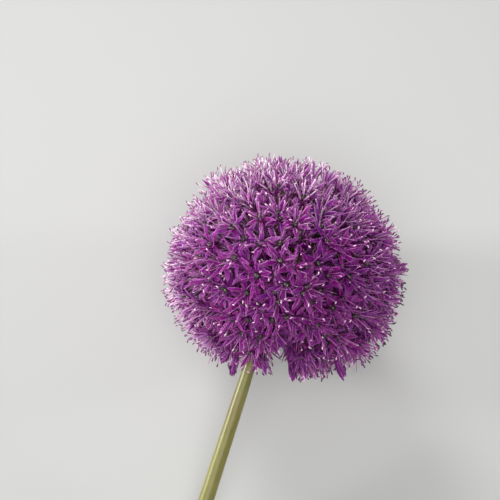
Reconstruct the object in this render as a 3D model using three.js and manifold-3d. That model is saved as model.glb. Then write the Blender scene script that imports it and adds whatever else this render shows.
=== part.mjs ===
// An allium flower head, cut with a short length of its stem and laid on its side on a flat surface.
// Millimetres, +Z up. The origin is on that surface, straight below the middle of the globe, at the
// flat end of the ovary of the floret that the globe lies on. The stem runs towards -Y and slopes
// down until its cut end touches the surface too.
import * as THREE from "three";
import { mergeVertices } from "three/addons/utils/BufferGeometryUtils.js";
import Module from "manifold-3d";

const wasm = await Module();
wasm.setup();

// ---- Driving dimensions ----
const GLOBE_RADIUS = 49.5; // across the stem, out to the tepal tips
const GLOBE_HALF_HEIGHT = 45.5; // along the stem, out to the tepal tips
const GLOBE_MIDDLE_Z = 47; // a little under the radius, because the lowest florets are pressed back
const STEM_LENGTH = 130; // from the middle of the globe to the cut end
const STEM_RADIUS_AT_CUT = 3.4;
const STEM_RADIUS_MIDWAY = 3.2;
const STEM_MIDWAY_AT = 0.58; // share of its length, from the middle of the globe
const STEM_RADIUS_AT_GLOBE = 2.75;
const STEM_RADIUS_AT_TOP = 2.6;
const STEM_SIDES = 24;
const SEAT_GAP = 0.3; // between the stem's top and the receptacle that sits on it

const RECEPTACLE_RADIUS = 6;
const RECEPTACLE_UNDERSIDE = -5.2; // along the stem's axis, from the middle of the globe
const RECEPTACLE_SIDES = 18;
const RECEPTACLE_RINGS = 12;

const FLORETS = 112;
const TEPALS = 6;
const TEPAL_LENGTH = 12; // larger than life, so that fewer florets still cover the globe
const TEPAL_WIDTH = 5;
const TEPAL_WIDEST_AT = 0.45; // share of its length
const TEPAL_THICKNESS = 0.9; // at the keel
const TEPAL_EDGE_LIFT = 0.3; // of its two edges above its midrib, where it is widest
const TEPAL_KEEL_AT = 0.95; // share of the way out to where it is widest
const TEPAL_RISE = THREE.MathUtils.degToRad(32); // above the plane square to the pedicel
const OVARY_RADIUS = 1.5;
const OVARY_HEIGHT = 2.6;
const OVARY_FLAT_RADIUS = 1.2; // the flat end of the ovary that the globe lies on
const PEDICEL_RADIUS = 0.62;
const PEDICEL_ROOT = 4.6; // its inner end, sunk in the receptacle
const DEEP_SHARE = 0.85; // every other floret sits this much further in, under its neighbours
const LEAN = THREE.MathUtils.degToRad(7); // most that a floret turns off its own radius
const BARE_ANGLE = THREE.MathUtils.degToRad(21); // round the stem, where no floret grows
const BEND_ANGLE = THREE.MathUtils.degToRad(40); // pedicels nearer the stem than this curve round it
const ROOT_ANGLE = THREE.MathUtils.degToRad(54); // and leave the receptacle this far from the stem
const ELBOW_ANGLE = THREE.MathUtils.degToRad(33);
const ELBOW_AT = 15; // from the middle of the globe
const GOLDEN_ANGLE = Math.PI * (3 - Math.sqrt(5));
const NEARLY_ALONG = 0.98; // the cosine past which two directions count as one
const SEED = 7;

const stemGreen = new THREE.MeshStandardMaterial({ name: "stem", color: 0x8a9052, roughness: 0.55 });
const tepalPurple = new THREE.MeshStandardMaterial({ name: "florets", color: 0x8e3a86, roughness: 0.6 });

// ---- Where the globe and the stem lie ----
// The cut end's lower rim touches the surface: its height there gives the stem's slope.
function stemSlope() {
  let slope = 0;
  for (let i = 0; i < 20; i++) {
    slope = Math.asin((GLOBE_MIDDLE_Z - STEM_RADIUS_AT_CUT * Math.cos(slope)) / STEM_LENGTH);
  }
  return slope;
}
const SLOPE = stemSlope();
const middle = new THREE.Vector3(0, 0, GLOBE_MIDDLE_Z);
const across = new THREE.Vector3(1, 0, 0);
const up = new THREE.Vector3(0, Math.cos(SLOPE), Math.sin(SLOPE)); // from the cut end to the globe's crown
const over = new THREE.Vector3().crossVectors(up, across);
const globeFrame = new THREE.Matrix4().makeBasis(across, over, up).setPosition(middle);

// ---- Helpers ----
// A repeatable draw from 0 to 1.
function drawFrom(seed) {
  let state = seed;
  return () => {
    state = (state + 0x6d2b79f5) | 0;
    let t = Math.imul(state ^ (state >>> 15), 1 | state);
    t = (t + Math.imul(t ^ (t >>> 7), 61 | t)) ^ t;
    return ((t ^ (t >>> 14)) >>> 0) / 4294967296;
  };
}
const draw = drawFrom(SEED);

function polar(angleFromCrown, turn, distance) {
  return new THREE.Vector3(
    distance * Math.sin(angleFromCrown) * Math.cos(turn),
    distance * Math.sin(angleFromCrown) * Math.sin(turn),
    distance * Math.cos(angleFromCrown),
  );
}

function toSolid(geometry) {
  const bare = new THREE.BufferGeometry()
    .setAttribute("position", geometry.getAttribute("position"))
    .setIndex(geometry.getIndex());
  const merged = mergeVertices(bare, 1e-4);
  return new wasm.Manifold(
    new wasm.Mesh({
      numProp: 3,
      vertProperties: new Float32Array(merged.getAttribute("position").array),
      triVerts: new Uint32Array(merged.getIndex().array),
    }),
  );
}

function toGeometry(solid) {
  const mesh = solid.getMesh();
  const geometry = new THREE.BufferGeometry()
    .setAttribute("position", new THREE.BufferAttribute(new Float32Array(mesh.vertProperties), 3))
    .setIndex(new THREE.BufferAttribute(new Uint32Array(mesh.triVerts), 1));
  geometry.computeVertexNormals();
  return geometry;
}

// ---- Stem: straight, round, slightly thinner towards the globe, cut square ----
function makeStem() {
  const top = RECEPTACLE_UNDERSIDE - SEAT_GAP;
  const profile = [
    new THREE.Vector2(0, -STEM_LENGTH),
    new THREE.Vector2(STEM_RADIUS_AT_CUT, -STEM_LENGTH),
    new THREE.Vector2(STEM_RADIUS_MIDWAY, -STEM_MIDWAY_AT * STEM_LENGTH),
    new THREE.Vector2(STEM_RADIUS_AT_GLOBE, -GLOBE_HALF_HEIGHT),
    new THREE.Vector2(STEM_RADIUS_AT_TOP, top),
    new THREE.Vector2(0, top),
  ];
  // The lathe turns about +Y: it is stood up along the stem, with a flat and not a corner underneath.
  const geometry = new THREE.LatheGeometry(profile, STEM_SIDES, Math.PI / STEM_SIDES);
  geometry.rotateX(Math.PI / 2);
  return new THREE.Mesh(geometry, stemGreen);
}

// ---- Receptacle: the knob on top of the stem that every pedicel grows from ----
function makeReceptacle() {
  const ball = new THREE.SphereGeometry(RECEPTACLE_RADIUS, RECEPTACLE_SIDES, RECEPTACLE_RINGS);
  const cutter = new THREE.BoxGeometry(4 * RECEPTACLE_RADIUS, 4 * RECEPTACLE_RADIUS, RECEPTACLE_RADIUS);
  cutter.translate(0, 0, RECEPTACLE_UNDERSIDE - RECEPTACLE_RADIUS / 2);
  return toSolid(ball.applyMatrix4(globeFrame)).subtract(toSolid(cutter.applyMatrix4(globeFrame)));
}

// ---- Floret: a pedicel that opens into six keeled tepals round a pointed ovary, as one closed skin ----
// base: where the tepals meet, facing: the way it looks, path: the pedicel's centres from its root,
// spin: the turn about facing, rise: the tepals' slope, flat: whether the ovary ends in a flat.
function floretSolid({ base, facing, path, spin, rise, flat }) {
  const nearlyAcross = Math.abs(facing.dot(across)) > NEARLY_ALONG;
  const side = new THREE.Vector3().crossVectors(facing, nearlyAcross ? up : across).normalize();
  const other = new THREE.Vector3().crossVectors(facing, side);
  const points = [];
  const faces = [];
  const at = (turn, distance, height) => {
    points.push(
      base
        .clone()
        .addScaledVector(side, distance * Math.cos(turn))
        .addScaledVector(other, distance * Math.sin(turn))
        .addScaledVector(facing, height),
    );
    return points.length - 1;
  };
  const step = (2 * Math.PI) / TEPALS;
  const notch = [];
  const left = [];
  const right = [];
  const tip = [];
  const keel = [];
  for (let k = 0; k < TEPALS; k++) {
    const turn = spin + k * step;
    const reach = TEPAL_WIDEST_AT * TEPAL_LENGTH;
    const out = reach * Math.cos(rise);
    const half = Math.atan2(TEPAL_WIDTH / 2, out);
    const height = reach * Math.sin(rise);
    notch.push(at(turn + step / 2, OVARY_RADIUS, 0));
    right.push(at(turn - half, Math.hypot(out, TEPAL_WIDTH / 2), height + TEPAL_EDGE_LIFT));
    left.push(at(turn + half, Math.hypot(out, TEPAL_WIDTH / 2), height + TEPAL_EDGE_LIFT));
    tip.push(at(turn, TEPAL_LENGTH * Math.cos(rise), TEPAL_LENGTH * Math.sin(rise)));
    keel.push(at(turn, out * TEPAL_KEEL_AT, height - TEPAL_THICKNESS));
  }
  // The pedicel's rim is a triangle under every other notch.
  const rings = [];
  rings.push([0, 2, 4].map((k) => at(spin + (k + 0.5) * step, PEDICEL_RADIUS, -TEPAL_THICKNESS)));
  for (const centre of [...path].reverse()) {
    const shift = centre.clone().sub(base).addScaledVector(facing, TEPAL_THICKNESS);
    rings.push(rings[0].map((i) => points.push(points[i].clone().add(shift)) - 1));
  }
  for (let k = 0; k < TEPALS; k++) {
    const before = notch[(k + TEPALS - 1) % TEPALS];
    const after = notch[k];
    // Upper side: base to widest, then widest to tip.
    faces.push([before, right[k], left[k]], [before, left[k], after], [right[k], tip[k], left[k]]);
    // Underside: a fan round the keel, closed on the nearest corner of the pedicel.
    const rim = rings[0][(k % 2 ? (k + 5) % 6 : k) / 2];
    const loop = [before, right[k], tip[k], left[k], after, rim];
    loop.forEach((point, i) => faces.push([loop[(i + 1) % loop.length], point, keel[k]]));
    if (k % 2) faces.push([after, rim, rings[0][((k + 1) % 6) / 2]]);
  }
  for (let i = 0; i + 1 < rings.length; i++) {
    for (let j = 0; j < 3; j++) {
      const next = (j + 1) % 3;
      faces.push([rings[i][next], rings[i][j], rings[i + 1][j]]);
      faces.push([rings[i][next], rings[i + 1][j], rings[i + 1][next]]);
    }
  }
  const root = rings[rings.length - 1];
  faces.push([root[0], root[2], root[1]]);
  // Ovary: a six-sided point, or cut flat where the globe lies on it.
  if (flat) {
    const end = notch.map((_, k) => at(spin + (k + 0.5) * step, OVARY_FLAT_RADIUS, OVARY_HEIGHT));
    for (let k = 0; k < TEPALS; k++) {
      const next = (k + 1) % TEPALS;
      faces.push([notch[k], notch[next], end[next]], [notch[k], end[next], end[k]]);
    }
    faces.push([end[0], end[1], end[2]], [end[2], end[3], end[4]]);
    faces.push([end[4], end[5], end[0]], [end[0], end[2], end[4]]);
  } else {
    const point = at(0, 0, OVARY_HEIGHT);
    for (let k = 0; k < TEPALS; k++) faces.push([notch[k], notch[(k + 1) % TEPALS], point]);
  }
  const geometry = new THREE.BufferGeometry().setFromPoints(points).setIndex(faces.flat());
  return { geometry, lowest: Math.min(...points.map((p) => p.z)) };
}

// The pedicel's centres, straight from the receptacle or bent round the stem.
function pedicelPath(angle, turn) {
  const fromStem = Math.PI - angle;
  if (fromStem > BEND_ANGLE) return [polar(angle, turn, PEDICEL_ROOT).applyMatrix4(globeFrame)];
  const elbowAngle = Math.max(fromStem, ELBOW_ANGLE);
  return [
    polar(Math.PI - ROOT_ANGLE, turn, PEDICEL_ROOT).applyMatrix4(globeFrame),
    polar(Math.PI - elbowAngle, turn, ELBOW_AT).applyMatrix4(globeFrame),
  ];
}

// Florets spaced evenly over the globe by the golden angle, from its crown to the bare ring at the stem.
function floretPlaces() {
  const down = new THREE.Vector3(0, 0, -1);
  const places = [];
  for (let i = 0; i < FLORETS; i++) {
    const height = 1 - ((1 + Math.cos(BARE_ANGLE)) * (i + 0.5)) / FLORETS;
    const angle = Math.acos(height);
    const turn = i * GOLDEN_ANGLE;
    places.push({ angle, turn, deep: i % 2 === 1 });
  }
  // The whole spiral is turned so that one floret faces the surface, and that one is set square to it.
  const restAngle = Math.PI / 2 + SLOPE;
  const offRest = (p) => Math.abs(p.angle - restAngle);
  const resting = places.filter((p) => !p.deep).reduce((best, p) => (offRest(p) < offRest(best) ? p : best));
  const shift = Math.PI / 2 - resting.turn;
  for (const p of places) p.turn += shift;
  resting.angle = restAngle;
  resting.resting = true;
  for (const p of places) {
    const share = p.deep ? DEEP_SHARE : 1;
    const reach = TEPAL_LENGTH * Math.sin(TEPAL_RISE);
    const wide = (Math.sqrt(GLOBE_RADIUS ** 2 - (TEPAL_LENGTH * Math.cos(TEPAL_RISE)) ** 2) - reach) * share;
    const tall = wide * (GLOBE_HALF_HEIGHT / GLOBE_RADIUS);
    const local = polar(p.angle, p.turn, 1).multiply(new THREE.Vector3(wide, wide, tall));
    p.base = local.clone().applyMatrix4(globeFrame);
    p.facing = p.base.clone().sub(middle).normalize();
    const lean = new THREE.Vector3(draw() - 0.5, draw() - 0.5, draw() - 0.5).multiplyScalar(2 * LEAN);
    p.spin = draw() * 2 * Math.PI;
    if (p.resting) {
      p.facing.copy(down);
      p.base.set(0, 0, OVARY_HEIGHT);
    } else {
      p.facing.add(lean).normalize();
    }
  }
  return places;
}

function makeUmbel() {
  const solids = [makeReceptacle()];
  for (const p of floretPlaces()) {
    const shape = {
      base: p.base,
      facing: p.facing,
      path: pedicelPath(p.angle, p.turn),
      spin: p.spin,
      rise: p.resting ? Math.asin(OVARY_HEIGHT / TEPAL_LENGTH) : TEPAL_RISE,
      flat: p.resting,
    };
    let made = floretSolid(shape);
    // A floret that would reach through the surface is pressed back towards the middle.
    if (made.lowest < 0 && !p.resting) {
      shape.base = p.base.clone().addScaledVector(p.facing, made.lowest / -p.facing.z);
      made = floretSolid(shape);
    }
    solids.push(toSolid(made.geometry));
  }
  return new THREE.Mesh(toGeometry(wasm.Manifold.union(solids)), tepalPurple);
}

// ---- The part ----
const flower = new THREE.Group();
flower.name = "allium_flower_head";
const stem = makeStem();
stem.name = "stem";
stem.applyMatrix4(globeFrame);
const umbel = makeUmbel();
umbel.name = "umbel";
flower.add(stem, umbel);

export default flower;
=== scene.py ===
import math

import bpy
import numpy as np
from mathutils import Matrix, Vector


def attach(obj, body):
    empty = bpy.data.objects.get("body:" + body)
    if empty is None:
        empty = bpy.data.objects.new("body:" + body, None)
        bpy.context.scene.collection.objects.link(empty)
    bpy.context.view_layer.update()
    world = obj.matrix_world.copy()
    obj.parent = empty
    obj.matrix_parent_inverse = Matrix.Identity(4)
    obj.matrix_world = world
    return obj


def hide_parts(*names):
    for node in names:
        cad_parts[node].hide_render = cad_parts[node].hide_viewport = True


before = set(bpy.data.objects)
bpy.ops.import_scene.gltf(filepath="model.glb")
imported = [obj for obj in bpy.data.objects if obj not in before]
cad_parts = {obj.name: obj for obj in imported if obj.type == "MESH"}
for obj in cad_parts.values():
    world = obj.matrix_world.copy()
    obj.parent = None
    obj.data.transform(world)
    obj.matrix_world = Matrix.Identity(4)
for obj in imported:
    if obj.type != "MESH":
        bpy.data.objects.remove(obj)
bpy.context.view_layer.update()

MM = 0.001

# ---- Camera ----
# The head lies on its side. The middle of its globe is straight above the origin, and its stem slopes down
# to the floor. The camera looks down at it, square to the stem, and is rolled so that the head leans right.
GLOBE_MIDDLE = np.array((0, 0, 47 * MM))
STEM_LENGTH = 130 * MM
CUT_RADIUS = 3.4 * MM
LEAN_IN_VIEW = math.radians(18)
CAMERA_DISTANCE = 560 * MM
LENS, SENSOR = 100, 36
PICTURE = 500  # pixels each way
HEAD_IN_PICTURE = (281, 269.5)  # pixel of the globe's middle
to_cut_rim = math.hypot(STEM_LENGTH, CUT_RADIUS)
slope = math.asin(GLOBE_MIDDLE[2] / to_cut_rim) - math.atan2(CUT_RADIUS, STEM_LENGTH)
across = np.array((1, 0, 0))
up = np.array((0, math.cos(slope), math.sin(slope)))  # along the stem, from its cut end to the globe's crown
under = np.cross(up, across)  # square to the stem, away from the camera
picture_up = up * math.cos(LEAN_IN_VIEW) - across * math.sin(LEAN_IN_VIEW)
picture_right = across * math.cos(LEAN_IN_VIEW) + up * math.sin(LEAN_IN_VIEW)
pixel = CAMERA_DISTANCE * SENSOR / LENS / PICTURE
aim = (
    GLOBE_MIDDLE
    - picture_right * (HEAD_IN_PICTURE[0] - PICTURE / 2) * pixel
    + picture_up * (HEAD_IN_PICTURE[1] - PICTURE / 2) * pixel
)


def placed(position, right, top):
    """The matrix of something at position that looks along -Z, with right and top as its X and Y."""
    turned = Matrix((right, top, np.cross(right, top))).transposed()
    return Matrix.Translation(Vector(position)) @ turned.to_4x4()


camera = bpy.data.objects.new("camera", bpy.data.cameras.new("camera"))
camera.data.lens = LENS
camera.data.sensor_width = SENSOR
camera.matrix_world = placed(aim - under * CAMERA_DISTANCE, picture_right, picture_up)
bpy.context.scene.collection.objects.link(camera)
bpy.context.scene.camera = camera

# ---- Floor and light ----
# A plain pale floor under a dim pale sky. A soft key lamp stands low past the globe's crown, a little to the
# left, and lights the tips of the florets there. A broad fill lamp hangs behind the camera, and two small
# narrow lamps, to the left and right, draw a thin line of light along the stem and the rims of the globe.
FLOOR_SIZE = 6.0
FLOOR_COLOUR = (0.50, 0.50, 0.485, 1)
FLOOR_ROUGHNESS = 0.8
SKY_COLOUR = (0.95, 0.97, 1.0, 1)
SKY_STRENGTH = 0.28
LAMPS = {
    # name: (turn from the picture's right and height over the floor in degrees, distance and size in metres,
    # spread in degrees, watts)
    "key_lamp": (116, 16, 1.6, 0.6, 70, 4.8),
    "fill_lamp": (250, 66, 1.0, 1.2, 70, 2.8),
    "left_lamp": (172, 13, 1.3, 0.25, 35, 0.6),
    "right_lamp": (8, 13, 1.3, 0.25, 35, 0.18),
}


class Mask:
    """A socket of a material's nodes. Sums on it add Math nodes, so a mask reads as plain arithmetic."""

    def __init__(self, tree, socket=None):
        self.tree = tree
        self.socket = socket

    def node(self, kind, values, output=0, **settings):
        """Adds a node with these settings, and gives its sockets their values or links."""
        made = self.tree.nodes.new(kind)
        for name, setting in settings.items():
            setattr(made, name, setting)
        for name, value in values.items():
            if isinstance(value, Mask):
                self.tree.links.new(value.socket, made.inputs[name])
            else:
                made.inputs[name].default_value = value
        return Mask(self.tree, made.outputs[output])

    def sum(self, operation, *values):
        """A Math node with this operation."""
        return self.node("ShaderNodeMath", dict(enumerate(values)), operation=operation)

    def __add__(self, other):
        return self.sum("ADD", self, other)

    __radd__ = __add__

    def __mul__(self, other):
        return self.sum("MULTIPLY", self, other)

    __rmul__ = __mul__

    def __sub__(self, other):
        return self.sum("SUBTRACT", self, other)

    def __rsub__(self, other):
        return self.sum("SUBTRACT", other, self)

    def __pow__(self, other):
        return self.sum("POWER", self, other)

    def over(self, low, high):
        """0 where this mask is under low, 1 where it is over high, and a smooth rise between them."""
        values = {"Value": self, "From Min": low, "From Max": high}
        return self.node("ShaderNodeMapRange", values, interpolation_type="SMOOTHSTEP")

    def between(self, low, high):
        """low where this mask is 0, and high where it is 1."""
        return low + self * (high - low)

    def bolder(self, contrast, middle=0.5):
        """This noise, 0 at its middle and contrast times as steep above it."""
        return (self - middle) * contrast

    def mix(self, first, second):
        """first where this mask is 0, second where it is 1. Each is a colour or a socket."""
        colours = {6: first, 7: second}
        for place, colour in colours.items():
            if not isinstance(colour, Mask):
                colours[place] = (*colour, 1)
        return self.node("ShaderNodeMix", {0: self, **colours}, output=2, data_type="RGBA")

    def mark(self, name):
        """The number that skin() has written on each point under this name."""
        return self.node("ShaderNodeAttribute", {}, output="Fac", attribute_name=name)

    def place(self):
        """Where on its piece a point lies, in metres."""
        return self.node("ShaderNodeTexCoord", {}, output="Object")

    def noise(self, place, scale, detail):
        return self.node("ShaderNodeTexNoise", {"Vector": place, "Scale": scale, "Detail": detail})

    def bump(self, strength, depth):
        return self.node("ShaderNodeBump", {"Height": self, "Strength": strength, "Distance": depth})


def surface(name, **constants):
    """A new material with these constants, and the mask and the shader that its nodes start from."""
    material = bpy.data.materials.new(name)
    material.use_nodes = True
    shader = material.node_tree.nodes["Principled BSDF"]
    for socket, value in constants.items():
        shader.inputs[socket.replace("_", " ")].default_value = value
    return material, Mask(material.node_tree), shader


def feed(mask, shader, socket):
    mask.tree.links.new(mask.socket, shader.inputs[socket])


sky = bpy.data.worlds.new("sky")
sky.use_nodes = True
sky.node_tree.nodes["Background"].inputs["Color"].default_value = SKY_COLOUR
sky.node_tree.nodes["Background"].inputs["Strength"].default_value = SKY_STRENGTH
bpy.context.scene.world = sky
bpy.context.scene.view_settings.view_transform = "Standard"

floor_mesh = bpy.data.meshes.new("floor")
half = FLOOR_SIZE / 2
floor_corners = [(-half, -half, 0), (half, -half, 0), (half, half, 0), (-half, half, 0)]
floor_mesh.from_pydata(floor_corners, [], [(0, 1, 2, 3)])
floor = bpy.data.objects.new("floor", floor_mesh)
bpy.context.scene.collection.objects.link(floor)
floor_paint, mask, shader = surface("floor_paint", Base_Color=FLOOR_COLOUR, Roughness=FLOOR_ROUGHNESS)
floor_mesh.materials.append(floor_paint)

level_right = np.array((picture_right[0], picture_right[1], 0)) / math.hypot(*picture_right[:2])
level_up = np.array((-level_right[1], level_right[0], 0))
for name, (turn, height, distance, size, spread, watts) in LAMPS.items():
    level = level_right * math.cos(math.radians(turn)) + level_up * math.sin(math.radians(turn))
    towards = level * math.cos(math.radians(height)) + np.array((0, 0, math.sin(math.radians(height))))
    lamp = bpy.data.objects.new(name, bpy.data.lights.new(name, "AREA"))
    lamp.data.energy = watts
    lamp.data.size = size
    lamp.data.spread = math.radians(spread)
    side = np.cross((0, 0, 1), towards)
    side /= np.linalg.norm(side)
    lamp.matrix_world = placed(GLOBE_MIDDLE + towards * distance, side, np.cross(towards, side))
    bpy.context.scene.collection.objects.link(lamp)

# ---- Stem ----
# One bare, round, leafless stalk, which carries the whole head. It is firm and olive green under a thin dull
# wax, finely ribbed along its length, and was cut square with a knife. Its top widens into the receptacle.
STEM_RINGS = 40
STEM_SIDES = 48
STEM_SHAPE = (  # place along it, counted from the globe's middle, and radius, in mm
    (-130, 3.4), (-75, 2.95), (-55, 2.8), (-44, 2.5), (-12, 2.4), (-6, 2.8), (-4.6, 3.6),
)
CUT_RINGS = (0.1, 0.45, 0.75, 0.93)  # shares of the cut's radius
CUT_RIM, OFF_CUT = 1.01, 2.0  # the cut is marked 0 to 1, out to its rim, and the stem's side 2
OLIVE_COLOURS = (0.14, 0.13, 0.015), (0.23, 0.205, 0.035)  # between the ribs, and on them
RUSTY_COLOUR = (0.20, 0.115, 0.035)
BLOOM_COLOUR = (0.30, 0.31, 0.12)
PITH_COLOURS = (0.62, 0.64, 0.36), (0.36, 0.42, 0.12)  # in the middle of the cut, and at its rim
RIB_STRETCH = (900, 40, 900)  # fine across the stem, and long down it
RIB_CONTRAST, RIB_MIDDLE = 1.6, 0.1875
MOTTLE_SCALE, MOTTLE_CONTRAST = 60, 2.4
BLOOM_SCALE, BLOOM_CONTRAST = 22, 1.6
PITH_SPREAD = 1.1  # how fast the pale middle of the cut turns green towards its rim
WAX_ROUGHNESS = (0.38, 0.63)
WAX_TINT = (1.0, 0.92, 0.86, 1)
RIB_BUMP = (0.25, 0.15 * MM)  # strength and depth


def along_globe(places):
    """Points from places (across, under, up) counted from the middle of the globe."""
    return GLOBE_MIDDLE + places @ np.array((across, under, up))


def round_stem(place, radius, sides):
    """One skin of rings round the stem's own line, at these places along it and with these radii."""
    line = along_globe(np.stack((0 * place, 0 * place, place), axis=-1))
    angle = np.linspace(0, 2 * math.pi, sides, endpoint=False)[:, None]
    ring = np.cos(angle) * across + np.sin(angle) * -under
    return (line[:, None] + radius[:, None, None] * ring)[None]


def skin(name, rings, material, stands_for, slot, **marks):
    """Closed skins over rings of points, shaped (skins, rings, points, 3). Seen from a skin's last ring, its
    points run counterclockwise. Each mark is a number for every point, which the material reads by name."""
    index = np.arange(rings[..., 0].size).reshape(rings.shape[:3])
    after = np.roll(index, -1, axis=2)
    walls = np.stack((index[:, :-1], after[:, :-1], after[:, 1:], index[:, 1:]), axis=-1).reshape(-1, 4)
    ends = np.concatenate((index[:, 0, ::-1], index[:, -1]))
    mesh = bpy.data.meshes.new(name)
    mesh.from_pydata(rings.reshape(-1, 3).tolist(), [], walls.tolist() + ends.tolist())
    mesh.shade_smooth()
    for mark, numbers in marks.items():
        layer = mesh.attributes.new(mark, "FLOAT", "POINT")
        layer.data.foreach_set("value", np.broadcast_to(numbers, index.shape).astype(np.float32).ravel())
    mesh.materials.append(material)
    piece = bpy.data.objects.new(name, mesh)
    bpy.context.scene.collection.objects.link(piece)
    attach(piece, "root")
    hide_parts(stands_for)


shape = np.array(STEM_SHAPE) * MM
place = np.linspace(shape[0, 0], shape[-1, 0], STEM_RINGS)
radius = np.interp(place, *shape.T)
cut = np.array(CUT_RINGS)
place = np.concatenate((np.full(len(cut), place[0]), place))
radius = np.concatenate((cut * CUT_RADIUS, radius))
on_cut = np.concatenate((cut, [1.0], np.full(STEM_RINGS - 1, OFF_CUT)))[None, :, None]

wax, mask, shader = surface(
    "stem_wax", Coat_Weight=0.4, Coat_Roughness=0.3, Sheen_Weight=1.0, Sheen_Roughness=0.2,
    Sheen_Tint=WAX_TINT,
)
stretched = mask.node("ShaderNodeMapping", {"Vector": mask.place(), "Scale": RIB_STRETCH})
ribs = mask.noise(stretched, scale=1, detail=4)
mottle = mask.noise(mask.place(), MOTTLE_SCALE, detail=3)
bloom = mask.noise(mask.place(), BLOOM_SCALE, detail=5)
olive = ribs.bolder(RIB_CONTRAST, RIB_MIDDLE).mix(*OLIVE_COLOURS)
olive = mottle.bolder(MOTTLE_CONTRAST).mix(olive, RUSTY_COLOUR)
olive = bloom.bolder(BLOOM_CONTRAST).mix(olive, BLOOM_COLOUR)
cut_mark = mask.mark("on_cut")
pith = (cut_mark * PITH_SPREAD).mix(*PITH_COLOURS)
is_cut = mask.sum("LESS_THAN", cut_mark, CUT_RIM)
feed(is_cut.mix(olive, pith), shader, "Base Color")
feed(bloom.between(*WAX_ROUGHNESS), shader, "Roughness")
feed(ribs.bump(*RIB_BUMP), shader, "Normal")
skin("stalk", round_stem(place, radius, STEM_SIDES), wax, "stem", "stem", on_cut=on_cut)

# ---- Places of the florets ----
# Every floret stands on its own stalk, so that together they make a globe, a little flatter along the stem.
# They fill it evenly, as seeds do, but each is a little out of line, and some stand deeper than others. The
# globe has swells and gaps. Some florets are faded, at random, and those that face the key and left lamps
# are half closed and marked as faded too, which paints them paler there: a painted highlight.
PLACES = 740  # on the spiral. A few are left out, for the gaps
GOLDEN_ANGLE = math.pi * (3 - math.sqrt(5))
GLOBE_WIDE = 42.6 * MM  # from the middle of the globe to the base of a floret's tepals, across the stem
GLOBE_TALL = 38.8 * MM  # the same, along the stem
OFF_AXIS = 1.3 * MM  # the globe has grown a little to one side of its stem
BARE_ANGLE = math.radians(17)  # round the stem
STRAY = math.radians(1.8)
CROWN_SINE = 0.2  # nearer to the crown than this, a floret strays no farther round it
LEAN = math.radians(5)
FRONT, DEEP = (0.94, 1.0), (0.74, 0.86)  # shares of the full way out
DEEP_SHARE = 0.42
DEEP_STEP = 0.7549  # spreads the deep ones evenly among the rest
SWELLS = (  # turn in the picture in degrees, height in mm, width in degrees
    (320, 1.8, 24), (282, -2.4, 24), (194, 1.2, 24), (150, -2.8, 24), (35, -1.0, 24),
    (128, 2.6, 10), (146, -1.6, 8), (169, -2.6, 8), (44, 1.2, 9), (75, -1.0, 8),
)
GAPS = (  # where florets are missing: places in the picture from the globe's middle, and their radius, in mm
    (-2.8, -30, 5.2), (-2.2, -36, 6.4), (-1.6, -43, 8.4), (0.8, 9.5, 1.2), (20.5, -21, 1.5),
    (18, -28, 1.5), (17, -35, 2.0), (-24, -31, 2.0),
)
GAP_BACK = 5 * MM  # behind the globe's middle by more than this, a gap in its upper half takes no floret out
NOTCH, NOTCH_WIDTH = (-1.8, -37), 9  # round this gap the florets are half closed: place and width in mm
BELLS = ((-17.7, -34.1), (3.6, -35.7), (21.6, -35.7))  # where florets hang half closed, like bells
BELL_FRONT = 12  # how far the bells hang before the globe's middle, in mm
# Painted highlight: florets that face these turns in the picture, towards the key and left lamps, get a
# higher faded mark, which paints their tepals, filaments and anthers paler.
BLEACHED_AND_LIT = ((104, 1.1, 1.5), (192, 0.7, 5))  # turn in the picture in degrees, strength and sharpness
FADED_STRAY = 0.12
LATE_SHARE, LATENESS = 0.08, (0.4, 1)  # lateness is 0 for a wide open floret, and 1 for one like a bell
CUPPING_STRAY = 9  # cupping is how many degrees a floret's tepals rise more than most
CROWN_CUPPING, NOTCH_CUPPING, FADED_CUPPING = 14, 42, 20
FLORET_HEIGHT = 9.2 * MM  # how far a floret's tips stand beyond the base of its tepals
FLORET_SPREAD = 3.8 * MM  # how far they stand out to its side, where that makes them lowest
FACING_DOWN = -0.4  # a floret that faces down as much as this is pressed back by the floor
NEARLY_ACROSS = 0.9  # a floret that faces more nearly across than this takes its side from the way up
draw = np.random.default_rng(11)


def unit(vectors):
    return vectors / np.linalg.norm(vectors, axis=-1, keepdims=True)


def ray(from_crown, turn):
    """Ways out of the globe's middle, as (across, under, up)."""
    out = np.sin(from_crown)
    return np.stack((out * np.cos(turn), out * np.sin(turn), np.cos(from_crown)), axis=-1)


def in_view(turn):
    """The way from the globe's middle that has this turn in the picture, in degrees."""
    return picture_right * math.cos(math.radians(turn)) + picture_up * math.sin(math.radians(turn))


order = np.arange(PLACES)
crown_angle = np.arccos(1 - (1 + math.cos(BARE_ANGLE)) * (order + 0.5) / PLACES)
crown_angle = np.clip(crown_angle + draw.normal(0, STRAY, PLACES), 0, math.pi - BARE_ANGLE)
turn = order * GOLDEN_ANGLE + draw.normal(0, STRAY, PLACES) / np.maximum(np.sin(crown_angle), CROWN_SINE)
is_deep = np.mod(order * DEEP_STEP, 1) < DEEP_SHARE
depth = np.where(is_deep, draw.uniform(*DEEP, PLACES), draw.uniform(*FRONT, PLACES))
globe = (GLOBE_WIDE, GLOBE_WIDE, GLOBE_TALL)
reach = ray(crown_angle, turn) * depth[:, None] * globe @ np.array((across, under, up))
for swell_turn, swell, width in SWELLS:
    off = np.arccos(np.clip(unit(reach) @ in_view(swell_turn), -1, 1))
    reach = reach + unit(reach) * (swell * MM * np.exp(-((off / math.radians(width)) ** 2)))[:, None]
in_picture = np.stack((reach @ picture_right, reach @ picture_up), axis=-1) / MM
kept = np.ones(PLACES, bool)
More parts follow.
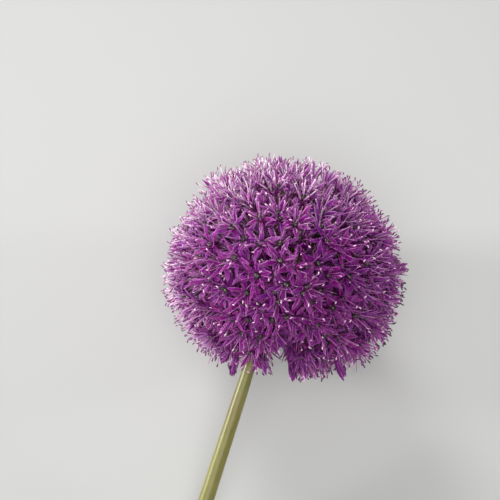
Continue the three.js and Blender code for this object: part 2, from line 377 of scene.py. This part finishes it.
for gap_right, gap_up, gap_radius in GAPS:
    clear = np.linalg.norm(in_picture - (gap_right, gap_up), axis=1) > gap_radius
    at_back = (reach @ under > GAP_BACK) & (gap_up > 0)
    kept &= clear | at_back
base = (GLOBE_MIDDLE + across * OFF_AXIS + reach)[kept]
in_picture, crown_angle, turn = in_picture[kept], crown_angle[kept], turn[kept]
florets = len(base)
facing = unit(unit(base - GLOBE_MIDDLE) + draw.normal(0, LEAN, (florets, 3)))
# The florets that the globe lies on are pressed back, until their tips just touch the floor.
lowest = np.maximum(-facing[:, 2], 0) * FLORET_HEIGHT + np.hypot(facing[:, 0], facing[:, 1]) * FLORET_SPREAD
short = np.where(facing[:, 2] < FACING_DOWN, np.maximum(lowest - base[:, 2], 0), 0)
base = base + facing * (short / np.minimum(facing[:, 2], FACING_DOWN))[:, None]
floret_side = unit(np.cross(facing, np.where(np.abs(facing[:, :1]) > NEARLY_ACROSS, up, across)))
floret_other = np.cross(facing, floret_side)
spin = draw.uniform(0, 2 * math.pi, florets)
tone = draw.uniform(0, 1, florets)  # each floret's own shade
lateness = np.where(draw.uniform(0, 1, florets) < LATE_SHARE, draw.uniform(*LATENESS, florets), 0)
near_crown = np.maximum(np.cos(crown_angle), 0) ** 2
near_notch = np.exp(-((np.linalg.norm(in_picture - NOTCH, axis=1) / NOTCH_WIDTH) ** 2))
cupping = draw.normal(0, CUPPING_STRAY, florets) + CROWN_CUPPING * near_crown + NOTCH_CUPPING * near_notch
for bell in BELLS:
    hanging = np.argmin(np.linalg.norm(in_picture - bell, axis=1))
    base[hanging] = GLOBE_MIDDLE + np.array((*bell, BELL_FRONT)) @ (picture_right, picture_up, -under) * MM
    facing[hanging] = unit(facing[hanging] - picture_up)
    lateness[hanging] = 1
# The faded mark: a random fading of each floret, plus painted highlight on the florets that face the lamps.
faded = draw.normal(0, FADED_STRAY, florets)
for lit_turn, strength, sharpness in BLEACHED_AND_LIT:
    sunny = unit(base - GLOBE_MIDDLE) @ in_view(lit_turn)
    faded += strength * np.maximum(sunny, 0) ** sharpness
faded = np.clip(faded, 0, 1)
cupping += FADED_CUPPING * faded

# ---- Receptacle and pedicels ----
# The stem ends in a small green knob, from which every pedicel grows. Each pedicel is a thin juicy stalk,
# pale green at its root and flushed with purple towards its floret, where it widens. Those by the stem bend
# round it.
KNOB_SHAPE = (  # place along the stem and radius, in mm
    (-5.2, 3.3), (-4.4, 4.3), (-2.5, 5.4), (0, 6.0), (2.5, 5.5), (4.4, 4.1), (5.6, 2.1), (6.0, 0.3),
)
KNOB_SIDES = 36
KNOB_MARKS = {"along": 0.1, "tone": 0.3}  # it is as green as the root of a pedicel
PEDICEL_ROOT = 5.2 * MM
PEDICEL_RADII = ((0, 0.5), (0.06, 0.42), (0.86, 0.4), (0.95, 0.55), (1, 0.95))  # place and radius in mm
PEDICEL_RINGS = 15
PEDICEL_SIDES = 7
ROOT_SQUEEZE = 0.78  # of the angle from the crown, so that no pedicel grows from under the knob
ROOT_PULL, FLORET_PULL = 0.45, 0.3  # how far a pedicel runs straight from the knob, and to its floret
WANDER = 0.5333 * MM
GREEN_COLOURS = (0.44, 0.42, 0.17), (0.58, 0.42, 0.25)
FLUSH_COLOUR = (0.24, 0.01, 0.18)
FLUSH_CURVE, FLUSH_STRENGTH = 2.2, 1.2  # the purple starts far from the root, and is full before the end
BLOTCH_SCALE, BLOTCH_CONTRAST = 350, 0.4
BLOTCH_BUMP = (0.15, 0.05 * MM)


def tubes(centres, radii, sides, lean, flat=1.0):
    """Rings of points round many centre lines at once. centres is shaped (tubes, rings, 3) and radii (tubes,
    rings). lean is a direction for each tube, in which it is flat times as thick as the other way."""
    along = unit(np.gradient(centres, axis=1))
    first = unit(lean - (lean * along).sum(-1, keepdims=True) * along)
    second = np.cross(along, first)
    angle = np.linspace(0, 2 * math.pi, sides, endpoint=False)[:, None]
    round_it = flat * np.cos(angle) * first[:, :, None] + np.sin(angle) * second[:, :, None]
    return centres[:, :, None] + radii[:, :, None, None] * round_it


juicy, mask, shader = surface(
    "pedicel_green", Roughness=0.5, Subsurface_Weight=0.15, Subsurface_Scale=0.4 * MM
)
blotch = mask.noise(mask.place(), BLOTCH_SCALE, detail=2)
flush = mask.mark("along") ** FLUSH_CURVE * FLUSH_STRENGTH + blotch.bolder(BLOTCH_CONTRAST)
feed(flush.mix(mask.mark("tone").mix(*GREEN_COLOURS), FLUSH_COLOUR), shader, "Base Color")
feed(blotch.bump(*BLOTCH_BUMP), shader, "Normal")

knob = np.array(KNOB_SHAPE) * MM
skin("receptacle", round_stem(*knob.T, KNOB_SIDES), juicy, "umbel", "florets", **KNOB_MARKS)

root_ray = ray(crown_angle * ROOT_SQUEEZE, turn)
root = along_globe(root_ray * PEDICEL_ROOT)
span = np.linalg.norm(base - GLOBE_MIDDLE, axis=1, keepdims=True)
from_root = along_globe(root_ray * span * ROOT_PULL)
to_floret = base - facing * span * FLORET_PULL
t = np.linspace(0, 1, PEDICEL_RINGS)[None, :, None]
pedicel_lines = (
    root[:, None] * (1 - t) ** 3
    + from_root[:, None] * 3 * t * (1 - t) ** 2
    + to_floret[:, None] * 3 * t**2 * (1 - t)
    + base[:, None] * t**3
    + draw.normal(0, WANDER, (florets, 1, 3)) * np.sin(math.pi * t)
)
pedicel_radii = np.interp(t[0, :, 0], *np.array(PEDICEL_RADII).T) * MM
skin(
    "pedicels",
    tubes(pedicel_lines, pedicel_radii[None], PEDICEL_SIDES, floret_side[:, None]),
    juicy,
    "umbel",
    "florets",
    along=t[..., 0][..., None],
    tone=tone[:, None, None],
)

# ---- Tepals ----
# Each floret has six narrow pointed tepals in two rings of three. They are thin, soft and faintly shiny,
# folded into a shallow channel, and spread like a star. Their margins and tips are paler than their faces,
# and each has a dark rib. Faded ones are narrower, more deeply folded, and stand up more, and have paler
# margins and tips on both sides; on the florets that face the key and left lamps this paleness is painted
# highlight.
TEPAL_LENGTH = 8.0 * MM
TEPAL_WIDTH = {"outer": 2.1 * MM, "inner": 1.85 * MM}
TEPAL_OUTLINE = ((0, 0.45), (0.16, 0.74), (0.34, 0.95), (0.54, 1), (0.73, 0.82), (0.89, 0.47), (1, 0.06))
TEPAL_ROOT = 0.8 * MM
TEPAL_THICKNESS = 0.18 * MM
THINNING = 1.1  # a tepal has no thickness left a little past its tip, at this share of its length
FACE = ((1, 0), (0.55, 0), (0, 0), (-0.55, 0), (-1, 0))  # across a tepal: place and depth
BACK = ((0, 1.5),)
BEHIND = (0.5, 0, 0, 0, 0.5, 1)  # 0 on the face, 1 on the back, and half-way at the margins
CHANNEL = (0.15, 0.45)  # height of the margins over the middle, as a share of the half width: fresh, faded
SHRINK = 0.3  # share of its width that a faded tepal loses
LATE_WIDER = 0.5
RISE = {"outer": (28, 10), "inner": (38, 22)}  # degrees over the floret's plane, at the base and at the tip
LATE_RISE = (70, 108)
RISE_CURVE = 0.8
RISE_STRAY = 6
LENGTH_STRAY = 0.07
WIDTH_STRAY = 0.08
SWING = 0.07  # how far a tip strays sideways, as a share of the tepal's length
TWIST = math.radians(14)
TONE_STRAY = 0.2
FACE_COLOURS = (0.15, 0.003, 0.20), (0.27, 0.005, 0.21)
HEART_COLOUR = (0.15, 0.004, 0.085)
TIP_COLOUR = (0.62, 0.29, 0.55)
# The faded margin colour and the faded tip strength are partly a painted highlight, on the florets that face
# the key and left lamps.
MARGIN_COLOURS = (0.53, 0.12, 0.50), (0.74, 0.40, 0.66)  # fresh, faded
BACK_COLOUR = (0.30, 0.04, 0.32)
RIB_COLOUR = (0.13, 0.012, 0.10)
HEART_ZONE, HEART_STRENGTH = (0, 0.4), 0.7  # shares of the length, from the base
TIP_ZONE, TIP_STRENGTH = (0.35, 1.05), (0.1, 0.55)  # strength fresh and faded
MARGIN_ZONE, MARGIN_STRENGTH = (0.66, 0.9), (0.62, 0.67)  # shares of the half width, from the middle
RIB_ZONE, RIB_STRENGTH = (0.03, 0.16), 0.6
BACK_TIP_ZONE, BACK_TIP_STRENGTH = (0.2, 0.9), 0.4
BACK_RIB_ZONE = (0.05, 0.3)
MARGIN_TURN = (0.5, 0.65)  # where the face's colours end and the back's begin, as BEHIND counts
TEPAL_ROUGHNESS = (0.36, 0.58)
VEIN_SCALE = 1.6
VEIN_CONTRAST, VEIN_MIDDLE = 1.6, 0.45
VEIN_BUMP = (0.35, 0.08 * MM)
VEIN_STRETCH = {"across": 5, "along": 1.5, "floret": 40}  # fine across a tepal, and new for every floret


def petal_frames(first_turn):
    """For three organs round each floret, the ways out, sideways and along its axis: (florets, 3, 1, 3)."""
    angle = spin[:, None] + first_turn + np.arange(3) * 2 * math.pi / 3
    out = np.cos(angle)[..., None] * floret_side[:, None] + np.sin(angle)[..., None] * floret_other[:, None]
    axis = np.broadcast_to(facing[:, None], out.shape)
    return out[:, :, None], np.cross(axis, out)[:, :, None], axis[:, :, None]


petal, mask, shader = surface(
    "tepal_purple", Subsurface_Weight=0.3, Subsurface_Radius=(1.0, 0.2, 1.0), Subsurface_Scale=0.5 * MM,
    Specular_IOR_Level=0.15,
)
way = mask.mark("along")
side = mask.mark("sideways")
own = mask.mark("tone")
pale = mask.mark("faded")
off_middle = mask.sum("ABSOLUTE", side)
vein_place = mask.node(
    "ShaderNodeCombineXYZ",
    {
        "X": side * VEIN_STRETCH["across"],
        "Y": way * VEIN_STRETCH["along"],
        "Z": own * VEIN_STRETCH["floret"],
    },
)
veins = mask.noise(vein_place, VEIN_SCALE, detail=2)
# pale is the faded mark: each floret's own fading, and painted highlight where florets face the lamps.
margin = off_middle.over(*MARGIN_ZONE) * pale.between(*MARGIN_STRENGTH)
face = own.mix(*FACE_COLOURS)
face = ((1 - way.over(*HEART_ZONE)) * HEART_STRENGTH).mix(face, HEART_COLOUR)
face = (way.over(*TIP_ZONE) * pale.between(*TIP_STRENGTH)).mix(face, TIP_COLOUR)
face = margin.mix(face, pale.mix(*MARGIN_COLOURS))
face = ((1 - off_middle.over(*RIB_ZONE)) * RIB_STRENGTH).mix(face, RIB_COLOUR)
back = (way.over(*BACK_TIP_ZONE) * pale * BACK_TIP_STRENGTH).mix(BACK_COLOUR, TIP_COLOUR)
back = (1 - off_middle.over(*BACK_RIB_ZONE)).mix(back, RIB_COLOUR)
flesh = mask.mark("behind").over(*MARGIN_TURN).mix(face, back)
feed(veins.bolder(VEIN_CONTRAST, VEIN_MIDDLE).mix(flesh, RIB_COLOUR), shader, "Base Color")
feed(veins.between(*TEPAL_ROUGHNESS), shader, "Roughness")
feed(veins.bump(*VEIN_BUMP), shader, "Normal")

step, outline = np.array(TEPAL_OUTLINE).T
stride = np.diff(step, prepend=0)
fold = CHANNEL[0] + (CHANNEL[1] - CHANNEL[0]) * faded[:, None, None]
section = np.array(FACE + BACK)
late = lateness[:, None, None]
cup = (cupping * (1 - lateness))[:, None, None]
count = (florets, 3, 1)
for whorl, first_turn in (("outer", 0), ("inner", math.pi / 3)):
    out, sideways, axis = petal_frames(first_turn)
    rise_at = []
    for open_rise, late_rise in zip(RISE[whorl], LATE_RISE):
        rise_at.append(open_rise * (1 - late) + late_rise * late + draw.normal(0, RISE_STRAY, count) + cup)
    rise = np.radians(rise_at[0] + (rise_at[1] - rise_at[0]) * step**RISE_CURVE)
    length = TEPAL_LENGTH * draw.normal(1, LENGTH_STRAY, count)
    outwards = TEPAL_ROOT + length * np.cumsum(np.cos(rise) * stride, axis=2)
    upwards = length * np.cumsum(np.sin(rise) * stride, axis=2)
    swing = length * draw.normal(0, SWING, count) * step**2
    line = base[:, None, None] + outwards[..., None] * out
    line = line + upwards[..., None] * axis + swing[..., None] * sideways
    inner_face = -np.sin(rise)[..., None] * out + np.cos(rise)[..., None] * axis
    roll = draw.normal(0, TWIST, count) * step
    wide = np.cos(roll)[..., None] * sideways + np.sin(roll)[..., None] * inner_face
    deep = np.cos(roll)[..., None] * inner_face - np.sin(roll)[..., None] * sideways
    plump = draw.normal(1, WIDTH_STRAY, count) * (1 - SHRINK * faded[:, None, None] + LATE_WIDER * late)
    half_width = TEPAL_WIDTH[whorl] / 2 * outline * plump
    lift = (half_width * fold)[..., None] * section[:, 0] ** 2
    depth_there = TEPAL_THICKNESS * (THINNING - step)[:, None] * section[:, 1]
    rings = (
        line[..., None, :]
        + half_width[..., None, None] * section[:, :1] * wide[..., None, :]
        + (lift - depth_there)[..., None] * deep[..., None, :]
    )
    shade = np.clip(tone[:, None, None] + draw.normal(0, TONE_STRAY, count), 0, 1)
    skin(
        whorl + "_tepals",
        rings.reshape(-1, len(step), len(section), 3),
        petal,
        "umbel",
        "florets",
        along=step[None, :, None],
        sideways=section[None, None, :, 0],
        behind=np.array(BEHIND)[None, None],
        tone=shade.reshape(-1, 1, 1),
        faded=np.repeat(faded, 3)[:, None, None],
    )

# ---- Filaments and anthers ----
# Six filaments stand out of each floret, one before each tepal. They are stiff, broad at the base and fine
# as thread at the tip, and pale lilac on faded florets, a paleness that is painted highlight on the florets
# that face the key and left lamps. A small anther is hinged on each, at its middle. Most anthers are dark,
# paler on faded florets, and some are dusted with pollen.
FILAMENT_LENGTH = 7.6 * MM
FILAMENT_RADII = ((0, 0.42), (0.25, 0.25), (0.6, 0.17), (1, 0.12))  # place along it, radius in mm
FILAMENT_ROOT = 1.1 * MM
FILAMENT_RINGS = 5
FILAMENT_SIDES = 4
FILAMENT_FLAT = 1.3
FILAMENT_RISE = (72, 60)  # degrees over the floret's plane, at the base and at the tip
FILAMENT_LATE_RISE = 22
FILAMENT_STRAY = 0.08
FILAMENT_SWING = 0.1
LATE_SHORTER = 0.25
FADED_STOUTER = 0.45  # share by which a faded filament is thicker
THREAD_CURVE = 0.8  # how the root's colour turns into the tip's
# The faded tip colour and the faded root colour below are partly painted highlight, on the florets that face
# the key and left lamps.
THREAD_TIPS = (0.46, 0.11, 0.43), (0.92, 0.78, 0.87)  # fresh, faded
THREAD_ROOTS = (0.21, 0.02, 0.23), (0.35, 0.05, 0.34)  # of the darkest and the lightest florets
FADED_AND_LIT_ROOT = (0.54, 0.20, 0.51)
ANTHER_LENGTH = {"dark": 1.65 * MM, "ripe": 1.3 * MM}
ANTHER_RADIUS = {"dark": 0.28 * MM, "ripe": 0.25 * MM}
ANTHER_SHAPE = ((-1, 0.3), (-0.6, 1), (0.6, 1), (1, 0.3))  # place along it and radius, as shares
ANTHER_SIDES = 5
ANTHER_FLAT = 0.8
ANTHER_TURN = 0.6  # how far a dark anther turns away from its filament
ANTHER_LEAN = across + 0.3 * up  # no anther points just this way
POLLEN_SHARE, POLLEN = 0.22, (0.8, 1)  # share of the anthers that have pollen, and how much they have
POLLEN_COVER = (0.75, 1.35)
POLLEN_COLOUR = (0.95, 0.60, 0.80)
ANTHER_COLOURS = (0.04, 0.012, 0.03), (0.22, 0.035, 0.19)
# The faded anther colour is partly painted highlight, on the florets that face the key and left lamps.
FADED_AND_LIT_ANTHER = (0.36, 0.18, 0.30)
GRAIN_SCALE = 3500
GRAIN_BUMP = (0.4, 0.05 * MM)
thread, mask, shader = surface(
    "filament_lilac", Roughness=0.35, Subsurface_Weight=0.2, Subsurface_Scale=0.3 * MM
)
# Filaments and styles are painted paler by the faded mark, which is partly painted highlight on the lamps'
# side.
pale = mask.mark("faded")
thread_root = pale.mix(mask.mark("tone").mix(*THREAD_ROOTS), FADED_AND_LIT_ROOT)
feed((mask.mark("along") ** THREAD_CURVE).mix(thread_root, pale.mix(*THREAD_TIPS)), shader, "Base Color")

dust, mask, shader = surface("anther_pollen", Roughness=0.6)
grain = mask.noise(mask.place(), GRAIN_SCALE, detail=1)
# Anthers are painted paler by the faded mark, which is partly painted highlight on the lamps' side.
dark = mask.mark("faded").mix(mask.mark("tone").mix(*ANTHER_COLOURS), FADED_AND_LIT_ANTHER)
feed((mask.mark("ripe") * grain.between(*POLLEN_COVER)).mix(dark, POLLEN_COLOUR), shader, "Base Color")
feed(grain.bump(*GRAIN_BUMP), shader, "Normal")

step = np.linspace(0, 1, FILAMENT_RINGS)
filament_lines, leans = [], []
for first_turn in (0, math.pi / 3):
    out, sideways, axis = petal_frames(first_turn)
    rise = FILAMENT_RISE[0] + (FILAMENT_RISE[1] - FILAMENT_RISE[0]) * step
    rise = np.radians(rise + draw.normal(0, RISE_STRAY, count) + FILAMENT_LATE_RISE * late)
    length = FILAMENT_LENGTH * draw.normal(1, FILAMENT_STRAY, count) * (1 - LATE_SHORTER * late)
    go = length / (FILAMENT_RINGS - 1)
    outwards = FILAMENT_ROOT + (np.cumsum(np.cos(rise), axis=2) - np.cos(rise[:, :, :1])) * go
    upwards = (np.cumsum(np.sin(rise), axis=2) - np.sin(rise[:, :, :1])) * go
    swing = length * draw.normal(0, FILAMENT_SWING, count) * step
    line = base[:, None, None] + outwards[..., None] * out
    line = line + upwards[..., None] * axis + swing[..., None] * sideways
    filament_lines.append(line.reshape(-1, FILAMENT_RINGS, 3))
    leans.append(np.broadcast_to(sideways, line.shape).reshape(-1, FILAMENT_RINGS, 3))
filament_lines = np.concatenate(filament_lines)
leans = np.concatenate(leans)
filament_tone = np.tile(np.repeat(tone, 3), 2)[:, None, None]
filament_faded = np.tile(np.repeat(faded, 3), 2)[:, None, None]
radii = np.interp(step, *np.array(FILAMENT_RADII).T) * MM * (1 + FADED_STOUTER * filament_faded[:, :, 0])
skin(
    "filaments",
    tubes(filament_lines, radii, FILAMENT_SIDES, leans, FILAMENT_FLAT),
    thread,
    "umbel",
    "florets",
    along=step[None, :, None],
    tone=filament_tone,
    faded=filament_faded,
)
tips = filament_lines[:, -1]
tangent = unit(filament_lines[:, -1] - filament_lines[:, -2])
ripe = np.where(draw.uniform(0, 1, len(tips)) < POLLEN_SHARE, draw.uniform(*POLLEN, len(tips)), 0.0)
hang = unit(draw.normal(0, 1, tips.shape))
hang = np.where(ripe[:, None] > 0, hang, unit(tangent + ANTHER_TURN * hang))
anther_shape = np.array(ANTHER_SHAPE)
half_length = np.where(ripe > 0, ANTHER_LENGTH["ripe"], ANTHER_LENGTH["dark"]) / 2
anther_lines = tips[:, None] + hang[:, None] * (half_length[:, None] * anther_shape[:, 0])[..., None]
anther_radii = np.where(ripe > 0, ANTHER_RADIUS["ripe"], ANTHER_RADIUS["dark"])[:, None] * anther_shape[:, 1]
anther_side = unit(np.cross(hang, ANTHER_LEAN))
skin(
    "anthers",
    tubes(anther_lines, anther_radii, ANTHER_SIDES, anther_side[:, None], ANTHER_FLAT),
    dust,
    "umbel",
    "florets",
    ripe=ripe[:, None, None],
    tone=filament_tone,
    faded=filament_faded,
)

# ---- Ovaries and styles ----
# In the middle of each floret sits a shiny dark green ovary with three round lobes, not quite 3 mm wide. A
# thin lilac style rises from the dent in its top.
OVARY_RADIUS = 1.35 * MM
OVARY_SHAPE = (  # height in mm, and share of the radius
    (-0.2, 0.45), (0.1, 0.8), (0.7, 1), (1.3, 0.98), (1.8, 0.78), (2.15, 0.42), (2.05, 0.12),
)
OVARY_HEIGHT = 2  # in mm, where its colour is greenest
OVARY_SIDES = 15
LOBE_DEPTH = 0.16
LOBE_COLOURS = (0.022, 0.032, 0.012), (0.075, 0.055, 0.045)
FOOT_COLOUR = (0.025, 0.02, 0.015)
GROOVE_COLOUR = (0.03, 0.008, 0.02)
GROOVE_STRENGTH = 0.8
WART_SCALE = 1500
WART_BUMP = (0.5, 0.06 * MM)
STYLE_LENGTH = 3.6 * MM
STYLE_RADII = ((0, 0.2), (0.8, 0.13), (0.95, 0.13), (1, 0.2))  # place along it, radius in mm
STYLE_RINGS = 5
STYLE_SIDES = 5
STYLE_ROOT = 1.9 * MM  # over the base of the tepals
STYLE_TILT = 0.12
STYLE_PALE = 0.4  # its root is as pale as a filament is this far along
lobes, mask, shader = surface("ovary_green", Roughness=0.28, Coat_Weight=0.3, Coat_Roughness=0.15)
warts = mask.noise(mask.place(), WART_SCALE, detail=2)
lobe_green = mask.mark("height").mix(FOOT_COLOUR, mask.mark("tone").mix(*LOBE_COLOURS))
feed((mask.mark("groove") * GROOVE_STRENGTH).mix(lobe_green, GROOVE_COLOUR), shader, "Base Color")
feed(warts.bump(*WART_BUMP), shader, "Normal")

ovary = np.array(OVARY_SHAPE)
angle = np.linspace(0, 2 * math.pi, OVARY_SIDES, endpoint=False)
lobe = 1 - LOBE_DEPTH * (0.5 - 0.5 * np.cos(3 * angle)) ** 2
spun = spin[:, None] + angle
circle = np.cos(spun)[..., None] * floret_side[:, None] + np.sin(spun)[..., None] * floret_other[:, None]
rings = (
    base[:, None, None]
    + facing[:, None, None] * ovary[:, 0, None, None] * MM
    + circle[:, None] * (ovary[:, 1, None, None] * OVARY_RADIUS) * lobe[:, None]
)
skin(
    "ovaries",
    rings,
    lobes,
    "umbel",
    "florets",
    groove=((1 - lobe) / LOBE_DEPTH)[None, None],
    height=np.clip(ovary[:, 0] / OVARY_HEIGHT, 0, 1)[None, :, None],
    tone=tone[:, None, None],
)
step = np.linspace(0, 1, STYLE_RINGS)
tilt = facing + draw.normal(0, STYLE_TILT, (florets, 3))
style_lines = base[:, None] + facing[:, None] * STYLE_ROOT + tilt[:, None] * (step * STYLE_LENGTH)[:, None]
style_radii = np.interp(step, *np.array(STYLE_RADII).T) * MM
skin(
    "styles",
    tubes(style_lines, style_radii[None], STYLE_SIDES, floret_side[:, None]),
    thread,
    "umbel",
    "florets",
    along=STYLE_PALE + (1 - STYLE_PALE) * step[None, :, None],
    tone=tone[:, None, None],
    faded=faded[:, None, None],
)
